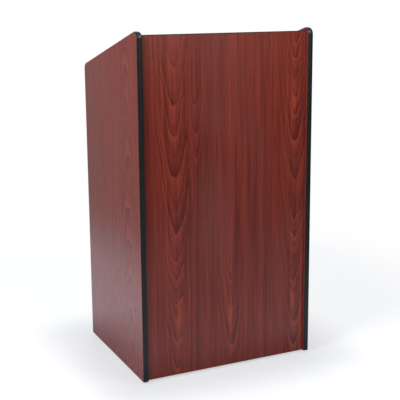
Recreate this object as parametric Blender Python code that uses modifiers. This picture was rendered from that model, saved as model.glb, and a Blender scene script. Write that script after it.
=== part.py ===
"""A floor-standing presentation lectern, knocked down from laminated board.

Metres, +Z up, with the origin on the floor at the middle of the footprint. The audience stands
towards -Y and the presenter towards +Y. Left is -X, as the audience sees it.
"""

import math

import bmesh
import bpy
from mathutils import Matrix, Vector

# Overall size.
WIDTH = 0.651
DEPTH = 0.530
SIDE_HEIGHT = 1.180  # a side's foot to the sharp corner where its front and top edges would meet
REAR_HEIGHT = 1.040  # the same, where its rear and top edges would meet
FLOOR_CLEARANCE = 0.009  # the casters hold the sides this far off the floor
FRONT_RECESS = 0.0117  # the front panel's face behind the front of the moulding
FRONT_HEIGHT = 1.1608  # the front panel with its edge band
GAP = 0.0003  # between pieces that touch

# Boards and their edging.
BOARD = 0.019
CORNER_RADIUS = 0.025
CORNER_STEPS = 7
CROWN = 0.003
CROWN_STEPS = 6
TONGUE_DEPTH = 0.008
TONGUE_HALF = 0.0009
BARB = 0.0006
BARB_LENGTH = 0.003
BAND = 0.002
BAND_ROUNDING = 0.0006

# The reading surface, in the slope's own frame.
READING_RECESS = 0.0146  # its face below the sides' top edges
READING_REAR_INSET = 0.034  # its lower end from the sharp rear corner, along the slope
STOP_THICKNESS = 0.012
STOP_RISE = 0.010
STOP_ROUNDING = 0.003
STOP_SCREW_SPREAD = 0.230
STOP_SCREW_RADIUS = 0.002
STOP_SCREW_LENGTH = 0.025  # below its head
STOP_SCREW_POINT = 0.003
STOP_HEAD_RADIUS = 0.004
STOP_HEAD = 0.003

# Shelves.
FIXED_SHELF_TOP = 0.800
SHELF_REAR_INSET = 0.030
SHELF_PLAY = 0.0015
PIN_ROWS = 5
PIN_PITCH = 0.064
PIN_LOWEST = 0.300
PIN_ROW_USED = 2
PIN_COLUMNS = (-0.150, 0.150)
PIN_RADIUS = 0.0025
PIN_DEPTH = 0.009
PIN_REACH = 0.009
PIN_COLLAR_RADIUS = 0.004
PIN_COLLAR = 0.0009

# Cam locks, in the undersides of the fixed boards.
CAM_RADIUS = 0.0075
CAM_DEPTH = 0.0125
CAM_SETBACK = 0.034  # from the side they pull up to
CAM_INSET = 0.110  # from a board's front and rear edges
CAM_SLOT = (0.009, 0.0016, 0.002)

# Cable grommet, let in flush with the reading surface.
GROMMET_X = -0.220
GROMMET_Y = 0.105  # along the slope
GROMMET_RADIUS = 0.026
GROMMET_WALL = 0.0022
GROMMET_FLANGE = 0.0045
GROMMET_LIP = 0.002
GROMMET_LEDGE = 0.002
CAP_THICKNESS = 0.0025
CAP_SLOT = 0.009

# Casters.
CASTER_HEIGHT = 0.064
CASTER_X = 0.240
CASTER_FRONT_Y = -0.168
CASTER_REAR_Y = 0.180
WHEEL_RADIUS = 0.025
WHEEL_SIDES = 32
CORE_RADIUS = 0.0195
CORE_SIDES = 20
CORE_HALF = 0.0080
CORE_HUB_RADIUS = 0.008
CORE_HUB_HALF = 0.009
CORE_RIM_RADIUS = 0.0155
CORE_WEB_HALF = 0.003
TREAD_HALF = 0.0090
TREAD_SHOULDER = 0.0018
TRAIL = 0.020
AXLE_RADIUS = 0.003
AXLE_HEAD_RADIUS = 0.0048
AXLE_HEAD = 0.0022
LEG_INSIDE = 0.0105
LEG_THICKNESS = 0.002
PLATE_SIZE = (0.060, 0.050, 0.0025)
PLATE_HOLES = (0.0225, 0.0175)
PLATE_HOLE_RADIUS = 0.0026
CUP_RADIUS = 0.015
CUP_HEIGHT = 0.0037
CUP_SHOULDER = 0.002
KINGPIN_RADIUS = 0.0035
KINGPIN_HEAD_RADIUS = 0.006
KINGPIN_HEAD = 0.002
KINGPIN_CHAMFER = 0.001
FORK_CROWN = (0.025, 0.032, 0.003)
AXLE_BOSS = 0.0075
LEG_SHOULDER = 0.008
LUG_REACH = 0.035
LUG_HEIGHT = 0.010
BRAKE_PIVOT = (0.030, 0.0525)
BRAKE_PIN_RADIUS = 0.0016
BRAKE_BOSS = 0.003
BRAKE_LOBE = 0.0037
BRAKE_HALF_WIDTH = 0.008
BRAKE_HEEL = 0.005
BRAKE_BEND = 0.022
BRAKE_BEND_RISE = 0.0005
BRAKE_TIP = 0.030
BRAKE_TIP_RISE = 0.0015
BRAKE_THICKNESS = 0.0024

# Places that follow from the sizes above.
SLOPE = math.atan2(SIDE_HEIGHT - REAR_HEIGHT, DEPTH)
FRONT_Y = -DEPTH / 2
REAR_Y = DEPTH / 2
INSIDE_X = WIDTH / 2 - BOARD
PANEL_REAR_Y = FRONT_Y + FRONT_RECESS + BOARD
SHELF_REAR_Y = REAR_Y - SHELF_REAR_INSET
CORNER_Z = FLOOR_CLEARANCE + SIDE_HEIGHT
READING_END = DEPTH / math.cos(SLOPE) - READING_REAR_INSET
PLATE_UNDER = CASTER_HEIGHT - GAP - PLATE_SIZE[2]
CUP_UNDER = PLATE_UNDER - CUP_HEIGHT
FORK_TOP = CUP_UNDER - GAP
CUTTER_REACH = 0.002
MERGE = 0.00001  # points closer than this are one

# Finishes: colour, roughness, metallic.
LAMINATE = ((0.195, 0.030, 0.022), 0.38, 0.0)
BLACK_VINYL = ((0.012, 0.013, 0.013), 0.35, 0.0)
BLACK_PLASTIC = ((0.015, 0.015, 0.016), 0.45, 0.0)
ZINC = ((0.62, 0.62, 0.60), 0.35, 1.0)
RUBBER = ((0.055, 0.055, 0.058), 0.75, 0.0)

X_AXIS = (1, 0, 0)
Y_AXIS = (0, 1, 0)
Z_AXIS = (0, 0, 1)
UPRIGHT = Matrix(((0, 0, 1, 0), (1, 0, 0, 0), (0, 1, 0, 0), (0, 0, 0, 1)))  # (u, v) to (y, z)


def new_collection(name):
    """A collection linked to the scene."""
    made = bpy.data.collections.new(name)
    bpy.context.scene.collection.children.link(made)
    return made


def paint(part, finish):
    """Give a part a Principled material of its own."""
    colour, roughness, metallic = finish
    made = bpy.data.materials.new(part.name + "_finish")
    made.use_nodes = True
    shader = made.node_tree.nodes["Principled BSDF"]
    shader.inputs["Base Color"].default_value = (*colour, 1.0)
    shader.inputs["Roughness"].default_value = roughness
    shader.inputs["Metallic"].default_value = metallic
    part.data.materials.append(made)


def add_part(name, mesh, finish, parent=None, location=(0, 0, 0), turn=None):
    """Link a mesh as a part of the lectern."""
    part = bpy.data.objects.new(name, mesh)
    parts.objects.link(part)
    part.parent = parent
    part.location = location
    if turn is not None:
        part.rotation_euler = turn.to_euler()
    paint(part, finish)
    return part


def add_cutter(name, mesh, parent=None):
    """Link a mesh as a shape that others are cut from or joined to."""
    cutter = bpy.data.objects.new(name, mesh)
    cutters.objects.link(cutter)
    cutter.parent = parent
    cutter.hide_render = True
    cutter.display_type = "WIRE"
    return cutter


def add_axis(name, location, parent=None, turn=None):
    """An empty that parts are placed on, or turn about."""
    axis = bpy.data.objects.new(name, None)
    parts.objects.link(axis)
    axis.parent = parent
    axis.location = location
    if turn is not None:
        axis.rotation_euler = turn.to_euler()
    return axis


def mesh_from(shape, name):
    """A bmesh as a mesh with outward normals."""
    shape.normal_update()
    bmesh.ops.recalc_face_normals(shape, faces=shape.faces[:])
    mesh = bpy.data.meshes.new(name)
    shape.to_mesh(mesh)
    shape.free()
    return mesh


def box_mesh(name, low, high):
    """A box between two corners."""
    low = Vector(low)
    high = Vector(high)
    shape = bmesh.new()
    place = Matrix.LocRotScale((low + high) / 2, None, high - low)
    bmesh.ops.create_cube(shape, size=1.0, matrix=place)
    return mesh_from(shape, name)


def rods_mesh(name, rods, sides=12):
    """One mesh of separate rods, each (centre, axis, radius, length)."""
    shape = bmesh.new()
    for centre, axis, radius, length in rods:
        turn = Vector(Z_AXIS).rotation_difference(Vector(axis))
        bmesh.ops.create_cone(
            shape,
            cap_ends=True,
            segments=sides,
            radius1=radius,
            radius2=radius,
            depth=length,
            matrix=Matrix.LocRotScale(Vector(centre), turn, None),
        )
    return mesh_from(shape, name)


def curve_of(name, points, cyclic):
    """A POLY curve in its own XY plane."""
    curve = bpy.data.curves.new(name, "CURVE")
    curve.dimensions = "2D"
    spline = curve.splines.new("POLY")
    spline.points.add(len(points) - 1)
    for point, (u, v) in zip(spline.points, points):
        point.co = (u, v, 0.0, 1.0)
    spline.use_cyclic_u = cyclic
    return curve


def mesh_of_curve(curve, place):
    """A curve's surface as a closed mesh, moved to its place."""
    guide = bpy.data.objects.new(curve.name, curve)
    cutters.objects.link(guide)
    evaluated = guide.evaluated_get(bpy.context.evaluated_depsgraph_get())
    mesh = bpy.data.meshes.new_from_object(evaluated)
    bpy.data.objects.remove(guide)
    shape = bmesh.new()
    shape.from_mesh(mesh)
    bmesh.ops.remove_doubles(shape, verts=shape.verts[:], dist=MERGE)
    shape.transform(place)
    return mesh_from(shape, curve.name)


def plate_mesh(name, points, thickness, x=0.0):
    """An outline of (y, z) points, given a thickness along X about a place on X."""
    curve = curve_of(name, points, cyclic=True)
    curve.fill_mode = "BOTH"
    curve.extrude = thickness / 2
    return mesh_of_curve(curve, Matrix.Translation((x, 0, 0)) @ UPRIGHT)


def swept_mesh(name, path, profile, x):
    """A closed profile of (outward, across) points, swept along a path of (y, z) points."""
    section = bpy.data.objects.new(name + "_section", curve_of(name + "_section", profile, cyclic=True))
    cutters.objects.link(section)
    curve = curve_of(name, path, cyclic=False)
    curve.bevel_mode = "OBJECT"
    curve.bevel_object = section
    curve.use_fill_caps = True
    mesh = mesh_of_curve(curve, Matrix.Translation((x, 0, 0)) @ UPRIGHT)
    bpy.data.objects.remove(section)
    return mesh


def turned_part(name, profile, sides, finish, parent=None, location=(0, 0, 0), turn=None, ring=False):
    """A profile of (radius, height) points, from top to bottom, turned about Z."""
    shape = bmesh.new()
    corners = [shape.verts.new((radius, 0, height)) for radius, height in profile]
    for first, second in zip(corners, corners[1:]):
        shape.edges.new((first, second))
    if ring:
        shape.edges.new((corners[-1], corners[0]))
    mesh = bpy.data.meshes.new(name)
    shape.to_mesh(mesh)
    shape.free()
    part = add_part(name, mesh, finish, parent, location, turn)
    screw = part.modifiers.new("turned", "SCREW")
    screw.steps = sides
    screw.render_steps = sides
    screw.use_merge_vertices = True
    screw.merge_threshold = MERGE
    screw.use_smooth_shade = True
    return part


def combine(part, tool, operation, solver="EXACT"):
    """Cut a part with a tool, or join the tool to it."""
    modifier = part.modifiers.new(operation.lower(), "BOOLEAN")
    modifier.operation = operation
    modifier.solver = solver
    modifier.object = tool


def round_edges(part, width, segments=2):
    """Round a part's sharp edges."""
    bevel = part.modifiers.new("rounding", "BEVEL")
    bevel.width = width
    bevel.segments = segments
    bevel.limit_method = "ANGLE"


def arc(centre, radius, start, end, steps):
    """Points on a circle, from one angle to another, in degrees."""
    angles = [math.radians(start + (end - start) * step / steps) for step in range(steps + 1)]
    return [(centre[0] + radius * math.cos(a), centre[1] + radius * math.sin(a)) for a in angles]


def side_edge(inset):
    """The front, top and rear edge of a side as (y, z) points, inset from the moulding's outside."""
    lean = CORNER_RADIUS * math.tan(SLOPE)
    rise = CORNER_RADIUS / math.cos(SLOPE)
    front = (FRONT_Y + CORNER_RADIUS, CORNER_Z - lean - rise)
    rear = (REAR_Y - CORNER_RADIUS, FLOOR_CLEARANCE + REAR_HEIGHT + lean - rise)
    top_angle = 90 - math.degrees(SLOPE)
    radius = CORNER_RADIUS - inset
    foot_front = [(FRONT_Y + inset, FLOOR_CLEARANCE)]
    foot_rear = [(REAR_Y - inset, FLOOR_CLEARANCE)]
    front_arc = arc(front, radius, 180, top_angle, CORNER_STEPS)
    rear_arc = arc(rear, radius, top_angle, 0, CORNER_STEPS)
    return foot_front + front_arc + rear_arc + foot_rear


def groove_edge():
    """The middle line of the groove for the moulding's tongue, run out past the foot."""
    edge = side_edge(CROWN + TONGUE_DEPTH / 2)
    first = (edge[0][0], edge[0][1] - CUTTER_REACH)
    last = (edge[-1][0], edge[-1][1] - CUTTER_REACH)
    return [first] + edge[1:-1] + [last]


def pin_rows():
    """The heights of the shelf pin holes."""
    return [PIN_LOWEST + PIN_PITCH * row for row in range(PIN_ROWS)]


def make_side(name, hand):
    """A side board, grooved round its edge and drilled inside for shelf pins."""
    x = hand * (WIDTH - BOARD) / 2
    side = add_part(name, plate_mesh(name, side_edge(CROWN), BOARD, x), LAMINATE)
    half_width = TONGUE_HALF + BARB + GAP
    deep = TONGUE_DEPTH / 2 + 2 * GAP
    out = TONGUE_DEPTH / 2 + CUTTER_REACH
    section = [(-out, -half_width), (deep, -half_width), (deep, half_width), (-out, half_width)]
    groove = add_cutter(name + "_groove", swept_mesh(name + "_groove", groove_edge(), section, x))
    combine(side, groove, "DIFFERENCE", "MANIFOLD")
    holes = [
        ((hand * INSIDE_X, y, z), X_AXIS, PIN_RADIUS + GAP, 2 * PIN_DEPTH + 2 * GAP)
        for y in PIN_COLUMNS
        for z in pin_rows()
    ]
    combine(side, add_cutter(name + "_pin_holes", rods_mesh(name + "_pin_holes", holes, 8)), "DIFFERENCE")
    return side


def moulding_section():
    """T-moulding: a crowned face, flat behind, with a barbed tongue. Outward is negative."""
    half = BOARD / 2
    crown = [
        (-GAP - (CROWN - GAP) * math.sin(angle), -half * math.cos(angle))
        for angle in [math.pi * step / (2 * CROWN_STEPS) for step in range(2 * CROWN_STEPS + 1)]
    ]
    tip = TONGUE_DEPTH - GAP
    barb = tip - BARB_LENGTH
    upper = [(-GAP, TONGUE_HALF), (barb, TONGUE_HALF), (barb, TONGUE_HALF + BARB), (tip, TONGUE_HALF)]
    lower = [(tip, -TONGUE_HALF), (barb, -TONGUE_HALF - BARB), (barb, -TONGUE_HALF), (-GAP, -TONGUE_HALF)]
    return crown + upper + lower


def make_moulding(name, hand):
    """One length of T-moulding, bent round a side from its front foot to its rear foot."""
    x = hand * (WIDTH - BOARD) / 2
    mesh = swept_mesh(name, side_edge(CROWN), moulding_section(), x)
    moulding = add_part(name, mesh, BLACK_VINYL)
    moulding.data.shade_smooth()
    moulding.data.set_sharp_from_angle(angle=math.radians(50))
    return moulding


def make_front_panel():
    """The upright panel between the sides, and the band on its top edge."""
    half = INSIDE_X - GAP
    front = PANEL_REAR_Y - BOARD
    top = FLOOR_CLEARANCE + FRONT_HEIGHT
    low = (-half, front, FLOOR_CLEARANCE)
    high = (half, PANEL_REAR_Y, top - BAND - GAP)
    add_part("front_panel", box_mesh("front_panel", low, high), LAMINATE)
    low = (-half, front, top - BAND)
    high = (half, PANEL_REAR_Y, top)
    band = add_part("front_panel_band", box_mesh("front_panel_band", low, high), BLACK_VINYL)
    round_edges(band, BAND_ROUNDING)


def cam_places(first_y, last_y):
    """Where the four cam locks of a board sit, as (x, y)."""
    x = INSIDE_X - CAM_SETBACK
    return [(-x, first_y), (x, first_y), (-x, last_y), (x, last_y)]


def make_cam(name, parent, x, y, underside):
    """A cam lock, flush with the underside of its board, with a driver slot."""
    centre = (x, y, underside + CAM_DEPTH / 2)
    cam = add_part(name, rods_mesh(name, [(centre, Z_AXIS, CAM_RADIUS, CAM_DEPTH)], 16), ZINC, parent)
    long, wide, deep = CAM_SLOT
    low = (x - long / 2, y - wide / 2, underside - deep)
    high = (x + long / 2, y + wide / 2, underside + deep)
    combine(cam, add_cutter(name + "_slot", box_mesh(name + "_slot", low, high), parent), "DIFFERENCE")


def fit_cams(board, label, parent, places, underside):
    """Bore a board for its cam locks and put them in."""
    deep = CAM_DEPTH + GAP
    bores = [((x, y, underside), Z_AXIS, CAM_RADIUS + GAP, 2 * deep) for x, y in places]
    combine(board, add_cutter(label + "_bores", rods_mesh(label + "_bores", bores, 16), parent), "DIFFERENCE")
    for number, (x, y) in enumerate(places, start=1):
        make_cam(f"{label}_{number}", parent, x, y, underside)


def make_shelf(name, top, play):
    """A board between the sides, open to the presenter, with a band on that edge."""
    half = INSIDE_X - play
    low = (-half, PANEL_REAR_Y + play, top - BOARD)
    high = (half, SHELF_REAR_Y - BAND - GAP, top)
    shelf = add_part(name, box_mesh(name, low, high), LAMINATE)
    low = (-half, SHELF_REAR_Y - BAND, top - BOARD)
    high = (half, SHELF_REAR_Y, top)
    band = add_part(name + "_band", box_mesh(name + "_band", low, high), BLACK_VINYL)
    round_edges(band, BAND_ROUNDING)
    return shelf


def make_shelf_pin(name, hand, y, z):
    """A steel pin with a collar, pressed into a side and carrying the loose shelf."""
    profile = [
        (0, PIN_DEPTH),
        (PIN_RADIUS, PIN_DEPTH),
        (PIN_RADIUS, -GAP),
        (PIN_COLLAR_RADIUS, -GAP),
        (PIN_COLLAR_RADIUS, -GAP - PIN_COLLAR),
        (PIN_RADIUS, -GAP - PIN_COLLAR),
        (PIN_RADIUS, -PIN_REACH),
        (0, -PIN_REACH),
    ]
    turn = Matrix.Rotation(hand * math.pi / 2, 3, "Y")
    turned_part(name, profile, 12, ZINC, location=(hand * INSIDE_X, y, z), turn=turn)


def make_shelf_pins():
    """The four pins under the adjustable shelf."""
    z = pin_rows()[PIN_ROW_USED]
    for label, y in zip(("front", "rear"), PIN_COLUMNS):
        make_shelf_pin(f"shelf_pin_{label}_left", -1, y, z)
        make_shelf_pin(f"shelf_pin_{label}_right", 1, y, z)


def on_slope(y, z):
    """The (y, z) of a point given along and out of the slope."""
    return (
        FRONT_Y + y * math.cos(SLOPE) + z * math.sin(SLOPE),
        CORNER_Z - y * math.sin(SLOPE) + z * math.cos(SLOPE),
    )


def reading_outline():
    """The reading surface's section: upright where it meets the front panel, square at its lower end."""
    front = PANEL_REAR_Y + GAP
    face = -READING_RECESS
    back = face - BOARD
    start_face, start_back = [
        (front - FRONT_Y - z * math.sin(SLOPE)) / math.cos(SLOPE) for z in (face, back)
    ]
    corners = [(start_face, face), (start_back, back), (READING_END, back), (READING_END, face)]
    return [on_slope(y, z) for y, z in corners]


def make_reading_surface(slope):
    """The slanted top, its cable grommet and its cam locks."""
    name = "reading_surface"
    board = add_part(name, plate_mesh(name, reading_outline(), 2 * (INSIDE_X - GAP)), LAMINATE)
    face = (GROMMET_X, GROMMET_Y, -READING_RECESS)
    hole = [(face, Z_AXIS, GROMMET_RADIUS + GAP, 3 * BOARD)]
    combine(board, add_cutter("grommet_hole", rods_mesh("grommet_hole", hole, 24), slope), "DIFFERENCE")
    seat = [(face, Z_AXIS, GROMMET_RADIUS + GROMMET_FLANGE + GAP, 2 * (GROMMET_LIP + GAP))]
    combine(board, add_cutter("grommet_seat", rods_mesh("grommet_seat", seat, 24), slope), "DIFFERENCE")
    places = cam_places(CAM_INSET, READING_END - CAM_INSET)
    fit_cams(board, "cam_lock_top", slope, places, -READING_RECESS - BOARD)
    deep = STOP_SCREW_LENGTH - STOP_THICKNESS + STOP_HEAD + STOP_HEAD_RADIUS
    screws = [
        ((x, READING_END, stop_screw_z()), Y_AXIS, STOP_SCREW_RADIUS + GAP, 2 * deep)
        for x in stop_screw_places()
    ]
    combine(board, add_cutter("stop_pilot_holes", rods_mesh("stop_pilot_holes", screws, 12), slope), "DIFFERENCE")


def stop_screw_places():
    """Where the book stop's screws sit along X."""
    return (-STOP_SCREW_SPREAD, 0.0, STOP_SCREW_SPREAD)


def stop_screw_z():
    """The height of the book stop's screws in the slope's frame: the middle of the board."""
    return -READING_RECESS - BOARD / 2


def make_book_stop(slope):
    """The strip that keeps papers from sliding off, screwed to the reading surface's lower end."""
    half = INSIDE_X - GAP
    start = READING_END + GAP
    end = start + STOP_THICKNESS
    low = (-half, start, -READING_RECESS - BOARD)
    high = (half, end, -READING_RECESS + STOP_RISE)
    stop = add_part("book_stop", box_mesh("book_stop", low, high), BLACK_VINYL, slope)
    round_edges(stop, STOP_ROUNDING, 3)
    z = stop_screw_z()
    radius = STOP_SCREW_RADIUS + GAP
    bores = [((x, start, z), Y_AXIS, radius, 4 * STOP_THICKNESS) for x in stop_screw_places()]
    bores_tool = add_cutter("stop_bores", rods_mesh("stop_bores", bores, 12), slope)
    combine(stop, bores_tool, "DIFFERENCE")
    radius = STOP_HEAD_RADIUS + GAP
    heads = [((x, end, z), Y_AXIS, radius, 2 * (STOP_HEAD + GAP)) for x in stop_screw_places()]
    heads_tool = add_cutter("stop_counterbores", rods_mesh("stop_counterbores", heads, 12), slope)
    combine(stop, heads_tool, "DIFFERENCE")
    profile = [
        (0, STOP_HEAD),
        (STOP_HEAD_RADIUS, STOP_HEAD),
        (STOP_HEAD_RADIUS, 0),
        (STOP_SCREW_RADIUS, 0),
        (STOP_SCREW_RADIUS, STOP_SCREW_POINT - STOP_SCREW_LENGTH),
        (0, -STOP_SCREW_LENGTH),
    ]
    turn = Matrix.Rotation(-math.pi / 2, 3, "X")
    for number, x in enumerate(stop_screw_places(), start=1):
        place = (x, end - STOP_HEAD, z)
        turned_part(f"stop_screw_{number}", profile, 12, ZINC, slope, place, turn)


def make_grommet(slope):
    """A flanged liner for cables, and the slotted cap that turns in it."""
    axis = add_axis("grommet_axis", (GROMMET_X, GROMMET_Y, -READING_RECESS), slope)
    inner = GROMMET_RADIUS - GROMMET_WALL
    ledge = inner - GROMMET_LEDGE
    seat = -CAP_THICKNESS - GAP
    liner = [
        (inner, 0),
        (GROMMET_RADIUS + GROMMET_FLANGE, 0),
        (GROMMET_RADIUS + GROMMET_FLANGE, -GROMMET_LIP),
        (GROMMET_RADIUS, -GROMMET_LIP),
        (GROMMET_RADIUS, -BOARD),
        (inner, -BOARD),
        (inner, seat - GROMMET_LEDGE),
        (ledge, seat - GROMMET_LEDGE),
        (ledge, seat),
        (inner, seat),
    ]
    turned_part("grommet_liner", liner, 24, BLACK_PLASTIC, axis, ring=True)
    radius = inner - 2 * GAP
    cap = [(0, 0), (radius, 0), (radius, seat + GAP), (0, seat + GAP)]
    made = turned_part("grommet_cap", cap, 24, BLACK_PLASTIC, axis)
    low = (-CAP_SLOT, 0, -BOARD)
    high = (CAP_SLOT, 2 * GROMMET_RADIUS, BOARD)
    combine(made, add_cutter("grommet_cap_slot", box_mesh("grommet_cap_slot", low, high), axis), "DIFFERENCE")


def fork_leg_outline():
    """A fork leg from the side, about the swivel axis: a plate narrowing down to the axle boss."""
    boss = arc((TRAIL, WHEEL_RADIUS), AXLE_BOSS, 200, 360, 8)
    front = -FORK_CROWN[1] / 2
    shoulder = [(front, FORK_TOP), (front, FORK_TOP - LEG_SHOULDER)]
    lug = [(LUG_REACH, FORK_TOP - LUG_HEIGHT), (LUG_REACH, FORK_TOP)]
    return shoulder + boss + lug


def make_caster_plate(label, swivel):
    """The mounting plate with its bearing cup and the riveted kingpin."""
    long, wide, thick = PLATE_SIZE
    low = (-long / 2, -wide / 2, PLATE_UNDER)
    high = (long / 2, wide / 2, PLATE_UNDER + thick)
    name = "caster_plate_" + label
    plate = add_part(name, box_mesh(name, low, high), ZINC, swivel)
    middle = PLATE_UNDER + thick / 2
    head_top = CUP_UNDER - FORK_CROWN[2] - 3 * GAP
    profile = [
        (0, middle),
        (CUP_RADIUS - CUP_SHOULDER, middle),
        (CUP_RADIUS, PLATE_UNDER - CUP_SHOULDER / 2),
        (CUP_RADIUS, CUP_UNDER),
        (KINGPIN_RADIUS, CUP_UNDER),
        (KINGPIN_RADIUS, head_top),
        (KINGPIN_HEAD_RADIUS, head_top),
        (KINGPIN_HEAD_RADIUS - KINGPIN_CHAMFER, head_top - KINGPIN_HEAD),
        (0, head_top - KINGPIN_HEAD),
    ]
    kingpin = turned_part(name + "_kingpin", profile, 16, ZINC, swivel)
    parts.objects.unlink(kingpin)
    cutters.objects.link(kingpin)
    kingpin.hide_render = True
    kingpin.display_type = "WIRE"
    combine(plate, kingpin, "UNION")
    x, y = PLATE_HOLES
    holes = [
        ((i * x, j * y, middle), Z_AXIS, PLATE_HOLE_RADIUS, 4 * thick)
        for i in (-1, 1)
        for j in (-1, 1)
    ]
    combine(plate, add_cutter(name + "_holes", rods_mesh(name + "_holes", holes, 8), swivel), "DIFFERENCE")


def make_fork(label, swivel, braked):
    """The stamped fork that turns on the kingpin."""
    name = "caster_fork_" + label
    wide, long, thick = FORK_CROWN
    low = (-wide / 2, -long / 2, FORK_TOP - thick)
    high = (wide / 2, long / 2, FORK_TOP)
    fork = add_part(name, box_mesh(name, low, high), ZINC, swivel)
    middle = LEG_INSIDE + LEG_THICKNESS / 2
    for hand in (-1, 1):
        leg = plate_mesh(f"{name}_leg", fork_leg_outline(), LEG_THICKNESS, hand * middle)
        combine(fork, add_cutter(f"{name}_leg", leg, swivel), "UNION")
    bores = [
        ((0, 0, FORK_TOP), Z_AXIS, KINGPIN_RADIUS + GAP, 4 * thick),
        ((0, TRAIL, WHEEL_RADIUS), X_AXIS, AXLE_RADIUS + GAP, 4 * middle),
    ]
    if braked:
        bores.append(((0, *BRAKE_PIVOT), X_AXIS, BRAKE_PIN_RADIUS + GAP, 4 * middle))
    combine(fork, add_cutter(name + "_bores", rods_mesh(name + "_bores", bores), swivel), "DIFFERENCE")


def make_wheel(label, axle_axis):
    """The axle, the moulded core that turns on it and the rubber tread."""
    along_x = Matrix.Rotation(math.pi / 2, 3, "Y")
    reach = LEG_INSIDE + LEG_THICKNESS + GAP
    axle = [
        (0, reach + AXLE_HEAD),
        (AXLE_HEAD_RADIUS, reach + AXLE_HEAD),
        (AXLE_HEAD_RADIUS, reach),
        (AXLE_RADIUS, reach),
        (AXLE_RADIUS, -reach),
        (AXLE_HEAD_RADIUS, -reach),
        (AXLE_HEAD_RADIUS, -reach - AXLE_HEAD),
        (0, -reach - AXLE_HEAD),
    ]
    turned_part("caster_axle_" + label, axle, 12, ZINC, axle_axis, turn=along_x)
    bore = AXLE_RADIUS + GAP
    core = [
        (bore, CORE_HUB_HALF),
        (CORE_HUB_RADIUS, CORE_HUB_HALF),
        (CORE_HUB_RADIUS, CORE_WEB_HALF),
        (CORE_RIM_RADIUS, CORE_WEB_HALF),
        (CORE_RIM_RADIUS, CORE_HALF),
        (CORE_RADIUS, CORE_HALF),
        (CORE_RADIUS, -CORE_HALF),
        (CORE_RIM_RADIUS, -CORE_HALF),
        (CORE_RIM_RADIUS, -CORE_WEB_HALF),
        (CORE_HUB_RADIUS, -CORE_WEB_HALF),
        (CORE_HUB_RADIUS, -CORE_HUB_HALF),
        (bore, -CORE_HUB_HALF),
    ]
    name = "caster_core_" + label
    turned_part(name, core, CORE_SIDES, BLACK_PLASTIC, axle_axis, turn=along_x, ring=True)
    outer = WHEEL_RADIUS / math.cos(math.pi / WHEEL_SIDES)
    inner = (CORE_RADIUS + GAP) / math.cos(math.pi / WHEEL_SIDES)
    tread = [
        (inner, TREAD_HALF),
        (outer - TREAD_SHOULDER, TREAD_HALF),
        (outer, TREAD_HALF - TREAD_SHOULDER),
        (outer, TREAD_SHOULDER - TREAD_HALF),
        (outer - TREAD_SHOULDER, -TREAD_HALF),
        (inner, -TREAD_HALF),
    ]
    half_side = Matrix.Rotation(math.pi / WHEEL_SIDES, 3, "Z")
    name = "caster_tread_" + label
    turn = along_x @ half_side
    turned_part(name, tread, WHEEL_SIDES, RUBBER, axle_axis, turn=turn, ring=True)


def make_brake(label, swivel):
    """The brake pedal, hung on a pin between the fork legs above the wheel."""
    y, z = BRAKE_PIVOT
    pivot = add_axis("brake_axis_" + label, (0, y, z), swivel)
    name = "brake_lever_" + label
    boss = arc((0, 0), BRAKE_BOSS, 60, 250, 8)
    lobe = arc((0, 0), BRAKE_LOBE, -85, -85, 1)[:1]
    heel = [(BRAKE_HEEL, BRAKE_THICKNESS / 2 - BRAKE_BOSS)]
    under = [(BRAKE_BEND, BRAKE_BEND_RISE), (BRAKE_TIP, BRAKE_TIP_RISE)]
    upper = [(y, rise + BRAKE_THICKNESS) for y, rise in reversed(under)]
    outline = boss + lobe + heel + under + upper
    lever = add_part(name, plate_mesh(name, outline, 2 * BRAKE_HALF_WIDTH), BLACK_PLASTIC, pivot)
    reach = LEG_INSIDE + LEG_THICKNESS
    pin = rods_mesh(name + "_pin", [((0, 0, 0), X_AXIS, BRAKE_PIN_RADIUS, 2 * reach)])
    combine(lever, add_cutter(name + "_pin", pin, pivot), "UNION")


def make_caster(label, x, y, braked):
    """One plate caster, trailing towards the presenter."""
    swivel = add_axis("caster_swivel_" + label, (x, y, 0))
    make_caster_plate(label, swivel)
    make_fork(label, swivel, braked)
    make_wheel(label, add_axis("caster_roll_" + label, (0, TRAIL, WHEEL_RADIUS), swivel))
    if braked:
        make_brake(label, swivel)


def make_lectern():
    """Every part of the lectern."""
    for label, hand in (("left", -1), ("right", 1)):
        make_side("side_panel_" + label, hand)
        make_moulding("t_moulding_" + label, hand)
    make_front_panel()
    slope = add_axis("slope", (0, FRONT_Y, CORNER_Z), turn=Matrix.Rotation(-SLOPE, 3, "X"))
    make_reading_surface(slope)
    make_book_stop(slope)
    make_grommet(slope)
    fixed = make_shelf("fixed_shelf", FIXED_SHELF_TOP, GAP)
    make_shelf("adjustable_shelf", pin_rows()[PIN_ROW_USED] + PIN_RADIUS + GAP + BOARD, SHELF_PLAY)
    bottom = make_shelf("bottom_panel", CASTER_HEIGHT + BOARD, GAP)
    places = cam_places(PANEL_REAR_Y + CAM_INSET, SHELF_REAR_Y - CAM_INSET)
    fit_cams(fixed, "cam_lock_shelf", None, places, FIXED_SHELF_TOP - BOARD)
    fit_cams(bottom, "cam_lock_bottom", None, places, CASTER_HEIGHT)
    make_shelf_pins()
    for label, hand in (("left", -1), ("right", 1)):
        make_caster("front_" + label, hand * CASTER_X, CASTER_FRONT_Y, braked=False)
        make_caster("rear_" + label, hand * CASTER_X, CASTER_REAR_Y, braked=True)


for existing in list(bpy.data.objects):
    bpy.data.objects.remove(existing)
parts = new_collection("presentation_lectern")
cutters = new_collection("cutters")
make_lectern()
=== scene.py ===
"""The looks of the presentation lectern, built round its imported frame. Metres, +Z up."""

import math

import bmesh
import bpy
from mathutils import Matrix, Vector


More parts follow.
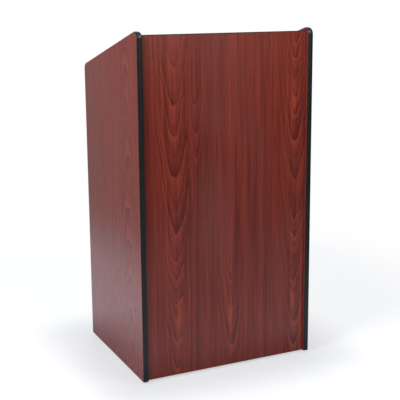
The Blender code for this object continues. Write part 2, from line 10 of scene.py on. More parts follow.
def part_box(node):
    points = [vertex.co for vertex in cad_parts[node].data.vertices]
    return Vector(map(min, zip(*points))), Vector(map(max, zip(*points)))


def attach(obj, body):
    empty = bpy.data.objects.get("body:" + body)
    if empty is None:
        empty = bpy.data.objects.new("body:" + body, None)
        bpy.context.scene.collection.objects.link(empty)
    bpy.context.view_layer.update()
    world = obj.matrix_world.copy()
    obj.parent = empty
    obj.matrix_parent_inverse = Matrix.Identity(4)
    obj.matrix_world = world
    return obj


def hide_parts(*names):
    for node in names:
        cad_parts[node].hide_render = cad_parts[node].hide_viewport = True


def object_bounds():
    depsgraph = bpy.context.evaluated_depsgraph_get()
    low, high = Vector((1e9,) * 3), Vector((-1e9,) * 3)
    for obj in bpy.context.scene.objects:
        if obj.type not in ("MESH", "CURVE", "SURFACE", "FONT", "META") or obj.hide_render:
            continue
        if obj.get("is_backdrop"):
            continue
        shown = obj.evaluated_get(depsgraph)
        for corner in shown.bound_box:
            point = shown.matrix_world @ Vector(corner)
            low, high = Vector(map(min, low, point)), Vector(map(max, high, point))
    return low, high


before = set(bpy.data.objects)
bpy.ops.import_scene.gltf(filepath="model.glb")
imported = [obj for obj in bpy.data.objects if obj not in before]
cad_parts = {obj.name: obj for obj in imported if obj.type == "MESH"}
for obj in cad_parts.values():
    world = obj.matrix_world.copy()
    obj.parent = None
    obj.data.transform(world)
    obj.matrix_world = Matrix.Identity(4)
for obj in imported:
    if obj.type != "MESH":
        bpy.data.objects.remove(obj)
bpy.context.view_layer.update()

# The studio view.
CAMERA_PLACE = (-1.3747, -2.9294, 1.2881)
CAMERA_YAW = math.radians(25.40)
CAMERA_PITCH = math.radians(-11.25)
CAMERA_ROLL = math.radians(-0.44)
CAMERA_LENS = 81.27
CAMERA_SHIFT = -0.06

# The studio: the edges of the white paper, how bright the room is, and the shadow painted on the paper round
# the lectern's base.
FLOOR_LEFT, FLOOR_RIGHT = -1.10, 1.60
FLOOR_FRONT, FLOOR_REAR = -2.30, 3.20
FLOOR_FEATHER = 0.35
FLOOR_SEEN = 0.40
CEILING_LEVEL = 0.40
BACK_WALL_LEVEL = 0.80
ROOM_LEVEL = 0.11
FRONT_LEVEL = 0.08
PAPER = ((0.80, 0.83, 0.89), (0.83, 0.86, 0.92))
# Painted contact shadow: the paper's colour next to the lectern's base, and how far out it fades.
PAINTED_CONTACT_SHADOW = (0.36, 0.38, 0.41)
PAINTED_SHADOW_REACH = 0.30
WHITE = (1.0, 1.0, 1.0)
LIGHTS = (  # name, place, target, size, power, colour
    ("key", (-2.0, -0.9, 2.1), (-0.3, 0, 0.9), 1.0, 74, (0.96, 0.96, 1.05)),
    ("overhead", (0.5, -1.25, 2.1), (0.1, -0.25, 0.8), 0.8, 19, WHITE),
    ("fill", (1.5, -4.0, 1.5), (0, 0, 1.1), 0.8, 8, WHITE),
    ("rear", (0.9, 3.0, 1.5), (0, 0.2, 0.7), 1.2, 34, WHITE),
)

# The lectern.
WIDTH = 0.651
DEPTH = 0.530
SIDE_HEIGHT = 1.180
REAR_HEIGHT = 1.040
FLOOR_CLEARANCE = 0.009
BOARD = 0.019
CROWN = 0.003
CORNER_RADIUS = 0.025
GAP = 0.0003
CORNER_STEPS = 28
CROWN_STEPS = 32
CROWN_FULLNESS = 0.85
TONGUE = 0.0077
TONGUE_HALF = 0.0009
BARB = 0.0006
BARB_LENGTH = 0.003

# The slanted top, in the slope's own frame: along it from its upper corner, and out of it.
SLOPE = math.atan2(SIDE_HEIGHT - REAR_HEIGHT, DEPTH)
READING_RECESS = 0.0146
READING_END = DEPTH / math.cos(SLOPE) - 0.034
STOP_THICKNESS = 0.012
STOP_RISE = 0.010
STOP_CORNER = 0.002
STOP_HEAD_SEAT = 0.003
STOP_HEAD_RADIUS = 0.004
STOP_SCREW_RADIUS = 0.002
SCREW_HEAD = 0.0024
GROMMET_X = -0.220
GROMMET_Y = 0.105
GROMMET_HOLE = 0.026
GROMMET_OUTER = 0.0305
GROMMET_INNER = 0.0238
GROMMET_LIP = 0.002
GROMMET_LEDGE = 0.002
CAP_THICKNESS = 0.0025
CAP_SLOT = 0.009

# Fittings.
PIN_RADIUS = 0.0025
PIN_COLLAR = 0.004
PIN_REACH = 0.009
CAM_RADIUS = 0.0075
CAM_DEPTH = 0.0125
CAM_WAIST = 0.0014
CAM_CROSS = (0.0090, 0.0062, 0.0016)

# Casters: from the swivel axis, with heights from the floor.
CASTER_HEIGHT = 0.064
PLATE_SIZE = (0.060, 0.050)
PLATE_CORNER = 0.007
PLATE_THICKNESS = 0.0025
PLATE_HOLES = (0.0225, 0.0175)
PLATE_SCREW_HEAD = 0.0044
PLATE_UNDER = CASTER_HEIGHT - GAP - PLATE_THICKNESS
CUP_RADIUS = 0.015
CUP_UNDER = PLATE_UNDER - 0.0037
KINGPIN_RADIUS = 0.0035
FORK_TOP = CUP_UNDER - GAP
FORK_CROWN = 0.003
FORK_CROWN_HALF = 0.0155
FORK_HALF = 0.0124
FORK_BEND = 0.0035
FORK_WALL = 0.002
LEG_INSIDE = 0.0105
LEG_OUTSIDE = 0.0125
TRAIL = 0.020
AXLE_BOSS = 0.0075
AXLE_RADIUS = 0.003
AXLE_REACH = 0.0128
WHEEL_RADIUS = 0.025
TREAD_HALF = 0.009
TREAD_SHOULDER = 0.0028
SPOKES = 6
BRAKE_PIVOT = (0.030, 0.0525)
BRAKE_PIN_RADIUS = 0.0016
PEDAL_HALF = 0.008
GRIP_RIDGES = 4

SMOOTH_ANGLE = math.radians(35)
MERGE = 0.00001  # points closer than this are one
UPRIGHT = Matrix(((0, 0, 1, 0), (1, 0, 0, 0), (0, 1, 0, 0), (0, 0, 0, 1)))  # (u, v) to (y, z)
ALONG_Y = Matrix(((1, 0, 0, 0), (0, 0, 1, 0), (0, 1, 0, 0), (0, 0, 0, 1)))  # (u, v) to (x, z)

# Colours, linear.
MAHOGANY_DARK = (0.078, 0.0100, 0.0065)
MAHOGANY_MID = (0.148, 0.0208, 0.0130)
MAHOGANY_LIGHT = (0.218, 0.0330, 0.0185)
MAHOGANY_FLAME = (0.300, 0.0480, 0.0190)
MAHOGANY_GREY = (0.110, 0.0290, 0.0220)
MAHOGANY_ROSE = (0.185, 0.0370, 0.0300)
LAMINATE_IOR = 1.40

# The printed grain. Arches are given by their tops, in metres along the board.
ARCH_RISE = 0.61
ARCH_STEEPENING = 0.03
BOARD_SPAN = 1.25
RING_COUNT = 10
LEFT_TOPS = (0.041, 0.126, 0.256, 0.346, 0.416, 0.506, 0.691, 0.841, 0.926, 1.066)
RIGHT_TOPS = (0.041, 0.121, 0.281, 0.451, 0.511, 0.656, 0.786, 0.881, 0.951, 1.011)
CENTRE_TOPS = (0.081, 0.221, 0.311, 0.380, 0.450, 0.560, 0.670, 0.780, 0.890, 1.000)
SMALL_TOPS = (0.060, 0.150, 0.240, 0.330, 0.420, 0.520, 0.660, 0.760, 0.846, 0.930)
SIDE_TOPS = (0.100, 0.210, 0.280, 0.395, 0.580, 0.700, 0.810, 0.930, 1.050, 1.150)
ALL_ALONG = (-1.0, 3.0)
CHIPBOARD_DARK = (0.235, 0.155, 0.085)
CHIPBOARD_LIGHT = (0.520, 0.400, 0.260)
VINYL_BLACK = (0.0052, 0.0058, 0.0060)
PLASTIC_BLACK = (0.0125, 0.0125, 0.0135)
RUBBER_GREY = (0.0300, 0.0300, 0.0325)
ZINC_LIGHT = (0.66, 0.67, 0.66)
ZINC_DARK = (0.42, 0.43, 0.43)
CAST_LIGHT = (0.56, 0.56, 0.55)
CAST_DARK = (0.34, 0.34, 0.34)
FRONT_BAND = (0.0120, 0.0050, 0.0055)

# How vinyl's drawn lines are spaced on X, Y and Z: closer across its length than along it.
DRAWN_UPRIGHT = (1.0, 1.0, 0.05)
DRAWN_ACROSS = (0.05, 1.0, 1.0)


# --- Node helpers -----------------------------------------------------


class Nodes:
    """Short ways to add and link nodes in one tree."""

    def __init__(self, tree):
        self.tree = tree

    def link(self, source, socket):
        """Link a socket, or set a plain value."""
        if isinstance(source, bpy.types.NodeSocket):
            self.tree.links.new(source, socket)
        elif source is not None:
            socket.default_value = source

    def math(self, operation, a, b=None, c=None, clamp=False):
        """One Math node."""
        node = self.tree.nodes.new("ShaderNodeMath")
        node.operation = operation
        node.use_clamp = clamp
        for value, socket in zip((a, b, c), node.inputs):
            self.link(value, socket)
        return node.outputs[0]

    def vector(self, x=0.0, y=0.0, z=0.0):
        """Three values as a vector."""
        node = self.tree.nodes.new("ShaderNodeCombineXYZ")
        for value, socket in zip((x, y, z), node.inputs):
            self.link(value, socket)
        return node.outputs[0]

    def noise(self, vector, scale=1.0, detail=2.0, roughness=0.5, w=None):
        """One Noise texture's value, at a place or along a line if w is given."""
        node = self.tree.nodes.new("ShaderNodeTexNoise")
        if w is None:
            self.link(vector, node.inputs["Vector"])
        else:
            node.noise_dimensions = "1D"
            self.link(w, node.inputs["W"])
        self.link(scale, node.inputs["Scale"])
        self.link(detail, node.inputs["Detail"])
        self.link(roughness, node.inputs["Roughness"])
        return node.outputs[0]

    def map(self, value, low, high, to_low=0.0, to_high=1.0, smooth=False):
        """A value moved from one range to another."""
        node = self.tree.nodes.new("ShaderNodeMapRange")
        node.interpolation_type = "SMOOTHSTEP" if smooth else "LINEAR"
        for source, socket in zip((value, low, high, to_low, to_high), node.inputs):
            self.link(source, socket)
        return node.outputs[0]

    def mix(self, factor, a, b):
        """Two colours mixed."""
        node = self.tree.nodes.new("ShaderNodeMix")
        node.data_type = "RGBA"
        self.link(factor, node.inputs[0])
        for value, socket in zip((a, b), (node.inputs[6], node.inputs[7])):
            self.link((*value, 1.0) if isinstance(value, tuple) else value, socket)
        return node.outputs[2]

    def separate(self, vector):
        """A vector's three values."""
        node = self.tree.nodes.new("ShaderNodeSeparateXYZ")
        self.link(vector, node.inputs[0])
        return node.outputs

    def scaled(self, vector, scales):
        """A vector with each of its values scaled."""
        pairs = zip(self.separate(vector), scales)
        return self.vector(*[self.math("MULTIPLY", value, scale) for value, scale in pairs])

    def bump(self, height, distance, strength=1.0):
        """A normal from a height."""
        node = self.tree.nodes.new("ShaderNodeBump")
        self.link(strength, node.inputs["Strength"])
        self.link(distance, node.inputs["Distance"])
        self.link(height, node.inputs["Height"])
        return node.outputs[0]


def new_material(name):
    """A material with a Principled shader, its nodes and the object's own coordinates."""
    material = bpy.data.materials.new(name)
    material.use_nodes = True
    tree = material.node_tree
    shader = tree.nodes["Principled BSDF"]
    nodes = Nodes(tree)
    place = tree.nodes.new("ShaderNodeTexCoord").outputs["Object"]
    return material, shader, nodes, place


# --- Laminate ---------------------------------------------------------


def arches(nodes, across, along, centre, reach, tops, window):
    """One column of nested arches.

    Gives the ring's number, which is whole on each arch, and how far a point is from the centre
    line. tops are the arches' places along the grain, and window is the stretch the column keeps to.
    """
    wander = nodes.noise(None, 2.6, 1.0, w=along)
    wander = nodes.math("MULTIPLY_ADD", wander, 0.036, -0.018)
    off = nodes.math("SUBTRACT", nodes.math("SUBTRACT", across, centre), wander)
    off = nodes.math("DIVIDE", off, reach)
    square = nodes.math("MULTIPLY", off, off)
    rise = nodes.math("SUBTRACT", nodes.math("SQRT", nodes.math("ADD", square, 1.0)), 1.0)
    rise = nodes.math("MULTIPLY", rise, nodes.math("MULTIPLY_ADD", square, ARCH_STEEPENING, ARCH_RISE))
    first, last = window
    kept = nodes.math("SMOOTH_MIN", nodes.math("SMOOTH_MAX", along, first, 0.06), last, 0.06)
    field = nodes.math("SUBTRACT", kept, rise)
    rings = nodes.tree.nodes.new("ShaderNodeFloatCurve")
    rings.mapping.use_clip = False
    rings.mapping.extend = "EXTRAPOLATED"
    curve = rings.mapping.curves[0]
    places = [(top / BOARD_SPAN, number / RING_COUNT) for number, top in enumerate(tops)]
    while len(curve.points) < len(places):
        curve.points.new(1.0, 1.0)
    for point, place in zip(curve.points, places):
        point.location = place
        point.handle_type = "VECTOR"
    rings.mapping.update()
    nodes.link(nodes.math("DIVIDE", field, BOARD_SPAN), rings.inputs["Value"])
    return nodes.math("MULTIPLY", rings.outputs[0], RING_COUNT), off


def patch(nodes, across, along, centre, size):
    """A soft oval: 1 in its middle, 0 outside."""
    x = nodes.math("DIVIDE", nodes.math("SUBTRACT", across, centre[0]), size[0])
    z = nodes.math("DIVIDE", nodes.math("SUBTRACT", along, centre[1]), size[1])
    square = nodes.math("MULTIPLY_ADD", x, x, nodes.math("MULTIPLY", z, z))
    return nodes.math("EXPONENT", nodes.math("MULTIPLY", square, -1.0))


def wood_print(name, columns, flames=(), clouds=(), lines=(), contrast=1.0, streaks=1.0):
    """The printed mahogany: arches, straight grain between them, pores and slow changes of tone.

    columns are (centre, reach, tops, window), flames (centre, size), clouds (centre, size, most,
    right edge) and lines (place, half width, first, last, depth), in metres across and along.
    """
    group = bpy.data.node_groups.new(name, "ShaderNodeTree")
    for label in ("Across", "Along", "Seed"):
        group.interface.new_socket(label, in_out="INPUT", socket_type="NodeSocketFloat")
    group.interface.new_socket("Color", in_out="OUTPUT", socket_type="NodeSocketColor")
    for label in ("Roughness", "Height"):
        group.interface.new_socket(label, in_out="OUTPUT", socket_type="NodeSocketFloat")
    given = group.nodes.new("NodeGroupInput").outputs
    result = group.nodes.new("NodeGroupOutput").inputs
    nodes = Nodes(group)
    across, along, seed = given["Across"], given["Along"], given["Seed"]

    def stretched(x_scale, z_scale, shift=0.0, detail=2.0, roughness=0.5):
        """Noise drawn out along the grain."""
        place = nodes.vector(
            nodes.math("MULTIPLY", across, x_scale),
            nodes.math("MULTIPLY", along, z_scale),
            nodes.math("ADD", seed, shift),
        )
        return nodes.noise(place, 1.0, detail, roughness)

    # Ring numbers, bent a little.
    bend = nodes.math("MULTIPLY_ADD", stretched(16.0, 5.0), 0.020, -0.010)
    sway = nodes.math("MULTIPLY_ADD", stretched(34.0, 11.0, 3.0), 0.070, -0.035)
    bent_across = nodes.math("ADD", across, bend)
    bent_along = nodes.math("ADD", along, sway)
    ring = nearness = None
    for centre, reach, tops, window in columns:
        number, off = arches(nodes, bent_across, bent_along, centre, reach, tops, window)
        near = nodes.math("EXPONENT", nodes.math("MULTIPLY", nodes.math("MULTIPLY", off, off), -0.8))
        first, last = window
        begun = nodes.map(along, first - 0.06, first, smooth=True)
        ended = nodes.map(along, last - 0.05, last + 0.03, 1.0, 0.0, smooth=True)
        near = nodes.math("MULTIPLY", nodes.math("MULTIPLY", near, begun), ended)
        ring = number if ring is None else nodes.math("SMOOTH_MAX", ring, number, 0.8)
        nearness = near if nearness is None else nodes.math("MAXIMUM", nearness, near)

    # Each ring is dark inside its edge and light outside it, some strongly and some hardly, with
    # finer rings between.
    phase = nodes.math("FRACT", ring)
    whole = nodes.math("FLOOR", nodes.math("ADD", ring, 0.5))
    strength = nodes.noise(None, 0.77, 0.0, w=nodes.math("ADD", whole, seed))
    strength = nodes.map(strength, 0.28, 0.60, 0.45, 1.0)
    dark = nodes.math("POWER", nodes.math("SUBTRACT", 1.0, phase), 4.0)
    dark = nodes.math("MULTIPLY", dark, nodes.map(phase, 0.0, 0.07, smooth=True))
    light = nodes.math("POWER", phase, 6.0)
    spacing = nodes.noise(None, 1.3, 1.0, w=nodes.math("ADD", ring, 5.0))
    spacing = nodes.math("MULTIPLY", spacing, 3.0)
    finer = nodes.math("FRACT", nodes.math("MULTIPLY_ADD", ring, 4.0, spacing))
    fall = nodes.map(finer, 0.86, 1.0, 1.0, 0.0, smooth=True)
    finer_dark = nodes.math("MULTIPLY", nodes.math("POWER", finer, 2.2), fall)
    inner = nodes.noise(None, 3.1, 3.0, 0.6, w=nodes.math("ADD", ring, 9.0))

    # Pores and streaks along the grain.
    fine = stretched(520.0, 9.0, 0.0, 3.0, 0.6)
    streak = stretched(150.0, 3.2, 1.0, 3.0, 0.6)
    line = stretched(62.0, 1.1, 2.0, 2.0, 0.5)
    broad = stretched(11.0, 1.3, 4.0)
    pore = nodes.math("POWER", nodes.map(fine, 0.52, 0.78), 1.4)

    tone = nodes.math("MULTIPLY_ADD", nodes.math("SUBTRACT", inner, 0.5), 0.70, 0.56)
    for part, weight in ((streak, 1.30), (line, 0.85), (broad, 0.50)):
        tone = nodes.math("MULTIPLY_ADD", nodes.math("SUBTRACT", part, 0.5), weight * streaks, tone)
    arch_weight = nodes.math("MULTIPLY_ADD", nearness, 0.55, 0.30)
    edge = nodes.math("MULTIPLY_ADD", dark, -0.62, nodes.math("MULTIPLY", light, 0.42))
    edge = nodes.math("MULTIPLY", nodes.math("MULTIPLY", edge, strength), arch_weight)
    edge = nodes.math("MULTIPLY", edge, nodes.map(stretched(30.0, 9.0, 8.0), 0.36, 0.60, 0.35, 1.25))
    tone = nodes.math("MULTIPLY_ADD", edge, contrast, tone)
    for place, half, first, last, depth in lines:
        far = nodes.math("DIVIDE", nodes.math("SUBTRACT", bent_across, place), half)
        near = nodes.math("MULTIPLY", nodes.math("MULTIPLY", far, far), -1.0)
        near = nodes.math("EXPONENT", near)
        begun = nodes.map(along, first, first + 0.1)
        ended = nodes.map(along, last - 0.1, last, 1.0, 0.0)
        kept = nodes.math("MULTIPLY", begun, ended)
        tone = nodes.math("MULTIPLY_ADD", nodes.math("MULTIPLY", near, kept), -depth, tone)
    tone = nodes.math("MULTIPLY_ADD", finer_dark, -0.24 * streaks, tone)
    tone = nodes.math("MULTIPLY_ADD", pore, -0.20 * streaks, tone, clamp=True)
    low = nodes.mix(nodes.map(tone, 0.0, 0.5), MAHOGANY_DARK, MAHOGANY_MID)
    colour = nodes.mix(nodes.map(tone, 0.5, 1.0), low, MAHOGANY_LIGHT)

    # Orange flames inside some arches, and greyer clouds.
    flame = nodes.math("MULTIPLY", nodes.math("MULTIPLY", nearness, light), 0.55)
    for centre, size in flames:
        flame = nodes.math("MAXIMUM", flame, patch(nodes, bent_across, bent_along, centre, size))
    flame = nodes.math("MULTIPLY", flame, nodes.map(tone, 0.30, 0.60))
    colour = nodes.mix(nodes.math("MULTIPLY", flame, 0.65), colour, MAHOGANY_FLAME)
    cool = nodes.map(stretched(5.5, 1.9, 6.0), 0.50, 0.72, 0.0, 0.45)
    for centre, size, most, right in clouds:
        cloud = nodes.math("MULTIPLY", patch(nodes, bent_across, bent_along, centre, size), most)
        inside = nodes.map(bent_across, right - 0.006, right + 0.002, 1.0, 0.0)
        cloud = nodes.math("MULTIPLY", cloud, inside)
        cool = nodes.math("MAXIMUM", cool, cloud)
    colour = nodes.mix(cool, colour, nodes.mix(tone, MAHOGANY_GREY, MAHOGANY_ROSE))
    nodes.link(colour, result["Color"])

    sheen = nodes.math("MULTIPLY_ADD", pore, 0.04, 0.23)
    nodes.link(nodes.math("MULTIPLY_ADD", streak, 0.06, sheen), result["Roughness"])
    raised = nodes.math("MULTIPLY", streak, 0.35)
    nodes.link(nodes.math("MULTIPLY_ADD", pore, -1.0, raised), result["Height"])
    return group


def chipboard(nodes, place):
    """The raw core at a board's cut edges: pressed flakes of pale wood."""
    cells = nodes.tree.nodes.new("ShaderNodeTexVoronoi")
    cells.inputs["Scale"].default_value = 620.0
    nodes.link(place, cells.inputs["Vector"])
    flakes = nodes.noise(place, 900.0, 3.0, 0.6)
    chips = nodes.math("MULTIPLY", nodes.separate(cells.outputs["Color"])[0], 0.4)
    tone = nodes.math("MULTIPLY_ADD", flakes, 0.7, chips)
    return nodes.mix(tone, CHIPBOARD_DARK, CHIPBOARD_LIGHT)


def laminate(name, print_group, axes, start, seed):
    """Board with the wood print on its two faces and raw core at its edges.

    axes are the numbers of the board's axes across the grain, along it and through the board, and
    start is where the print starts across and along. A print that runs downwards or forwards has
    its start at the far end.
    """
    material, shader, nodes, place = new_material(name)
    parts = nodes.separate(place)
    printed = nodes.tree.nodes.new("ShaderNodeGroup")
    printed.node_tree = print_group
    for label, axis, (zero, sign) in zip(("Across", "Along"), axes, start):
        nodes.link(nodes.math("MULTIPLY_ADD", parts[axis], sign, -zero * sign), printed.inputs[label])
    printed.inputs["Seed"].default_value = seed
    facing = nodes.tree.nodes.new("ShaderNodeTexCoord").outputs["Normal"]
    flat = nodes.math("ABSOLUTE", nodes.separate(facing)[axes[2]])
    face = nodes.map(flat, 0.55, 0.60)
    colour = nodes.mix(face, chipboard(nodes, place), printed.outputs["Color"])
    nodes.link(colour, shader.inputs["Base Color"])
    rough = nodes.map(face, 0.0, 1.0, 0.85, printed.outputs["Roughness"])
    nodes.link(rough, shader.inputs["Roughness"])
    nodes.link(nodes.bump(printed.outputs["Height"], 0.000005, 0.10), shader.inputs["Normal"])
    shader.inputs["IOR"].default_value = LAMINATE_IOR
    return material


# --- Other materials --------------------------------------------------


def vinyl(name, colour, roughness, drawn, ior):
    """Extruded vinyl: drawn lines along its length, faint scuffs and a soft shine."""
    material, shader, nodes, place = new_material(name)
    lines = nodes.noise(nodes.scaled(place, drawn), 1400.0, 2.0)
    cloud = nodes.noise(place, 22.0, 4.0, 0.6)
    scuff = nodes.map(nodes.noise(place, 160.0, 5.0, 0.65), 0.60, 0.74)
    pale = tuple(channel * 1.9 + 0.003 for channel in colour)
    tone = nodes.math("MULTIPLY_ADD", scuff, 0.35, nodes.map(cloud, 0.3, 0.7, 0.0, 0.30))
    nodes.link(nodes.mix(tone, colour, pale), shader.inputs["Base Color"])
    rough = nodes.map(cloud, 0.3, 0.7, roughness - 0.04, roughness + 0.05)
    rough = nodes.math("MULTIPLY_ADD", scuff, 0.16, rough)
    nodes.link(nodes.math("MULTIPLY_ADD", lines, 0.05, rough), shader.inputs["Roughness"])
    nodes.link(nodes.bump(lines, 0.00003, 0.25), shader.inputs["Normal"])
    shader.inputs["IOR"].default_value = ior
    return material


def moulded(name, colour, roughness, grain=2600.0, depth=0.00006):
    """Moulded plastic or rubber with a fine spark texture and rubbed spots."""
    material, shader, nodes, place = new_material(name)
    spark = nodes.noise(place, grain, 3.0, 0.6)
    cloud = nodes.noise(place, 60.0, 4.0, 0.6)
    rubbed = nodes.map(nodes.noise(place, 240.0, 4.0, 0.7), 0.58, 0.74)
    pale = tuple(channel * 2.1 + 0.005 for channel in colour)
    tone = nodes.math("MULTIPLY_ADD", rubbed, 0.40, nodes.map(cloud, 0.3, 0.7, 0.0, 0.35))
    nodes.link(nodes.mix(tone, colour, pale), shader.inputs["Base Color"])
    rough = nodes.map(cloud, 0.3, 0.7, roughness - 0.05, roughness + 0.07)
    nodes.link(nodes.math("MULTIPLY_ADD", rubbed, -0.12, rough), shader.inputs["Roughness"])
    nodes.link(nodes.bump(spark, depth, 0.5), shader.inputs["Normal"])
    return material


def zinc(name, light, dark, roughness):
    """Zinc-plated or die-cast metal: cloudy plating, fine scratches and darker stains."""
    material, shader, nodes, place = new_material(name)
    cloud = nodes.noise(place, 140.0, 5.0, 0.62)
    scratch = nodes.noise(nodes.scaled(place, (60.0, 900.0, 900.0)), 1.0, 2.0)
    stain = nodes.map(nodes.noise(place, 45.0, 4.0, 0.6), 0.52, 0.72)
    tone = nodes.map(cloud, 0.32, 0.68)
    colour = nodes.mix(tone, dark, light)
    stained = tuple(channel * 0.6 for channel in dark)
    colour = nodes.mix(nodes.math("MULTIPLY", stain, 0.35), colour, stained)
    nodes.link(colour, shader.inputs["Base Color"])
    rough = nodes.map(cloud, 0.3, 0.7, roughness + 0.08, roughness - 0.04)
    nodes.link(nodes.math("MULTIPLY_ADD", stain, 0.12, rough), shader.inputs["Roughness"])
    nodes.link(nodes.bump(scratch, 0.00002, 0.3), shader.inputs["Normal"])
    shader.inputs["Metallic"].default_value = 1.0
    return material


# --- Stage ------------------------------------------------------------


def add_camera():
    """The camera, front left of the lectern and a little above its top."""
    forward = Vector((
        math.sin(CAMERA_YAW) * math.cos(CAMERA_PITCH),
        math.cos(CAMERA_YAW) * math.cos(CAMERA_PITCH),
        math.sin(CAMERA_PITCH),
    ))
    level = Vector((math.cos(CAMERA_YAW), -math.sin(CAMERA_YAW), 0.0))
    upright = level.cross(forward)
    right = math.cos(CAMERA_ROLL) * level + math.sin(CAMERA_ROLL) * upright
    up = math.cos(CAMERA_ROLL) * upright - math.sin(CAMERA_ROLL) * level
    data = bpy.data.cameras.new("camera")
    data.lens = CAMERA_LENS
    data.shift_y = CAMERA_SHIFT
    camera = bpy.data.objects.new("camera", data)
    turn = Matrix((right, up, -forward)).transposed().to_4x4()
    camera.matrix_world = Matrix.Translation(CAMERA_PLACE) @ turn
    bpy.context.scene.collection.objects.link(camera)
    bpy.context.scene.camera = camera


def add_light(name, place, target, size, power, colour):
    """A soft square light aimed at a point."""
    data = bpy.data.lights.new(name, "AREA")
    data.shape = "SQUARE"
    data.size = size
    data.energy = power
    data.color = colour
    light = bpy.data.objects.new(name, data)
    aim = Vector(target) - Vector(place)
    light.matrix_world = Matrix.LocRotScale(Vector(place), aim.to_track_quat("-Z", "Y"), None)
    light.visible_camera = False
    bpy.context.scene.collection.objects.link(light)


def add_floor():
    """A sheet of white paper under the lectern, with a painted contact shadow round its base, which fades
    out into the white surroundings.
    """
    shape = bmesh.new()
    bmesh.ops.create_grid(shape, x_segments=8, y_segments=8, size=0.5)
    width, depth = FLOOR_RIGHT - FLOOR_LEFT, FLOOR_REAR - FLOOR_FRONT
    bmesh.ops.scale(shape, vec=(width, depth, 1.0), verts=shape.verts)
    middle = Vector((FLOOR_LEFT + width / 2, FLOOR_FRONT + depth / 2, 0.0))
    bmesh.ops.translate(shape, vec=middle, verts=shape.verts)
    mesh = bpy.data.meshes.new("floor")
    shape.to_mesh(mesh)
    shape.free()
    floor = bpy.data.objects.new("floor", mesh)
    bpy.context.scene.collection.objects.link(floor)
    material, shader, nodes, place = new_material("floor_white")
    x, y, z = nodes.separate(place)
    speck = nodes.mix(nodes.noise(place, 3.0, 3.0), *PAPER)
    # Painted contact shadow: the paper's colour darkens towards the lectern's footprint.
    outside = [
        nodes.math("MAXIMUM", nodes.math("SUBTRACT", nodes.math("ABSOLUTE", value), half), 0.0)
        for value, half in ((x, WIDTH / 2), (y, DEPTH / 2))
    ]
    square = nodes.math("MULTIPLY", outside[1], outside[1])
    away = nodes.math("SQRT", nodes.math("MULTIPLY_ADD", outside[0], outside[0], square))
    near = nodes.map(away, 0.0, PAINTED_SHADOW_REACH, smooth=True)
    nodes.link(nodes.mix(near, PAINTED_CONTACT_SHADOW, speck), shader.inputs["Base Color"])
    shader.inputs["Roughness"].default_value = 0.9
    left = nodes.map(x, FLOOR_LEFT, FLOOR_LEFT + FLOOR_FEATHER, smooth=True)
    right = nodes.map(x, FLOOR_RIGHT - 2 * FLOOR_FEATHER, FLOOR_RIGHT, 1.0, 0.0, smooth=True)
    front = nodes.map(y, FLOOR_FRONT, FLOOR_FRONT + FLOOR_FEATHER, smooth=True)
    thin = nodes.map(y, -1.0, -0.3, 0.55, 1.0, smooth=True)
    rear = nodes.map(y, FLOOR_REAR - 6 * FLOOR_FEATHER, FLOOR_REAR, 1.0, 0.0, smooth=True)
    below = nodes.tree.nodes.new("ShaderNodeNewGeometry").outputs["Backfacing"]
    above = nodes.math("SUBTRACT", 1.0, below)
    seen = nodes.tree.nodes.new("ShaderNodeLightPath").outputs["Is Camera Ray"]
    bright = nodes.math("MULTIPLY_ADD", seen, FLOOR_SEEN - 1.0, 1.0)
    alpha = left
    for edge in (right, front, thin, rear, above, bright):
        alpha = nodes.math("MULTIPLY", alpha, edge)
    nodes.link(alpha, shader.inputs["Alpha"])
    mesh.materials.append(material)
    floor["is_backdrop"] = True


def add_world():
    """White behind everything, and a studio to mirror: bright above and behind, dim in front."""
    world = bpy.data.worlds.new("studio")
    world.use_nodes = True
    tree = world.node_tree
    nodes = Nodes(tree)
    back = tree.nodes["Background"]
    x, y, z = nodes.separate(tree.nodes.new("ShaderNodeTexCoord").outputs["Generated"])
    ceiling = nodes.math("MULTIPLY", nodes.map(z, 0.0, 0.9, smooth=True), CEILING_LEVEL)
    right = nodes.map(x, -0.42, -0.10, smooth=True)
    wall = nodes.math("MULTIPLY", right, nodes.map(y, 0.0, 0.6, smooth=True))
    low = nodes.map(z, 0.0, 0.6, 1.0, 0.0, smooth=True)
    front = nodes.math("MULTIPLY", nodes.map(y, -0.9, -0.1, 1.0, 0.0, smooth=True), low)
    level = nodes.math("MULTIPLY_ADD", wall, BACK_WALL_LEVEL, ROOM_LEVEL)
    level = nodes.math("MULTIPLY_ADD", front, FRONT_LEVEL - ROOM_LEVEL, level)
    level = nodes.math("ADD", level, ceiling)
    seen = tree.nodes.new("ShaderNodeLightPath").outputs["Is Camera Ray"]
    nodes.link(nodes.math("MAXIMUM", seen, level), back.inputs["Strength"])
    back.inputs["Color"].default_value = (*WHITE, 1.0)
    bpy.context.scene.world = world


# --- Shapes -----------------------------------------------------------


def lathe(shape, profile, steps, place, ring=False):
    """Add a profile of (radius, height) points turned about Z, then moved to its place."""
    rounds = []
    for radius, height in profile:
        count = steps if radius > 0 else 1
        angles = [2 * math.pi * step / count for step in range(count)]
        spots = [(radius * math.cos(a), radius * math.sin(a), height) for a in angles]
        rounds.append([shape.verts.new(place @ Vector(spot)) for spot in spots])
    pairs = list(zip(rounds, rounds[1:])) + ([(rounds[-1], rounds[0])] if ring else [])
    for first, second in pairs:
        for step in range(steps):
            corners = [
                first[step % len(first)],
                first[(step + 1) % steps % len(first)],
                second[(step + 1) % steps % len(second)],
                second[step % len(second)],
            ]
            shape.faces.new(list(dict.fromkeys(corners)))


def prism(shape, outline, low, high, place):
    """Add a flat outline of (u, v) points, given a thickness from low to high, moved to its place."""
    under = [shape.verts.new(place @ Vector((u, v, low))) for u, v in outline]
    over = [shape.verts.new(place @ Vector((u, v, high))) for u, v in outline]
    shape.faces.new(under[::-1])
    shape.faces.new(over)
    for number in range(len(outline)):
        after = (number + 1) % len(outline)
        shape.faces.new((under[number], under[after], over[after], over[number]))


